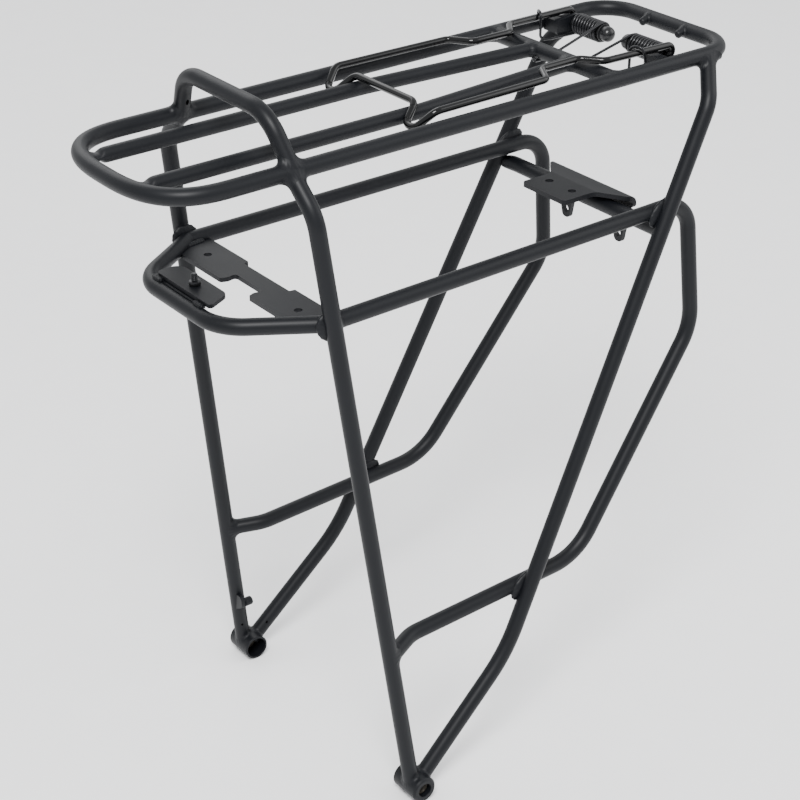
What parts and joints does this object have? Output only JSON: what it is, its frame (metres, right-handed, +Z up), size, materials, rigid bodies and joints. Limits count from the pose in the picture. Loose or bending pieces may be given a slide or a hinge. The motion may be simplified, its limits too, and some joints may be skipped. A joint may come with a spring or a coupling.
{
  "type": "bicycle rear carrier",
  "caption": "Welded tube carrier for a bicycle's rear wheel, with pannier rails at each side and a sprung wire clamp on its deck.",
  "frame": {"origin": "midpoint between the two dropout lugs, on their common axis", "axes": "+X forward on the bicycle, +Y left, +Z up"},
  "size_m": [0.419, 0.2152, 0.4526],
  "materials": {
    "frame_black": "fine satin black powder coat",
    "plate_black": "fine satin black powder coat on sheet",
    "wire_black": "glossy black coated wire",
    "spring_steel": "blackened spring steel",
    "stud_steel": "black zinc",
    "insert_brass": "dull, oxidised",
    "sleeve_plastic": "matt black",
    "cap_plastic": "semi-gloss black"
  },
  "bodies": {
    "rack": {"deck_loop": "frame_black", "deck_bar_l": "frame_black", "deck_bar_r": "frame_black", "deck_cross_tube": "frame_black", "front_peg_l": "frame_black", "front_peg_r": "frame_black", "rear_hoop": "frame_black", "rear_leg_l": "frame_black", "rear_leg_r": "frame_black", "front_strut_l": "frame_black", "front_strut_r": "frame_black", "pannier_rail_l": "frame_black", "pannier_rail_r": "frame_black", "tail_loop": "frame_black", "front_bridge_tube": "frame_black", "dropout_lug_l": "frame_black", "dropout_lug_r": "frame_black", "hook_tab": "frame_black", "hook_peg": "frame_black", "pivot_bracket_l": "frame_black", "pivot_bracket_r": "frame_black", "front_bracket": "plate_black", "mudguard_plate": "plate_black", "tail_light_plate": "plate_black", "tail_light_stud": "stud_steel", "lug_insert_l": "insert_brass", "lug_insert_r": "insert_brass", "pivot_sleeve_l": "sleeve_plastic", "pivot_sleeve_r": "sleeve_plastic", "clamp_spring_l": "spring_steel", "clamp_spring_r": "spring_steel"},
    "clamp": {"clamp_bail": "wire_black", "spring_cap_l": "cap_plastic", "spring_cap_r": "cap_plastic"}
  },
  "joints": [
    {"name": "clamp_hinge", "type": "hinge", "parent": "rack", "child": "clamp", "pos_m": [0.2375, 0, 0.4095], "axis": [0, 1, 0], "range_deg": [0, 75], "stiffness_Nm_per_rad": 0.35, "springref_deg": -45.84, "deforming": ["clamp_spring_l", "clamp_spring_r"]}
  ]
}
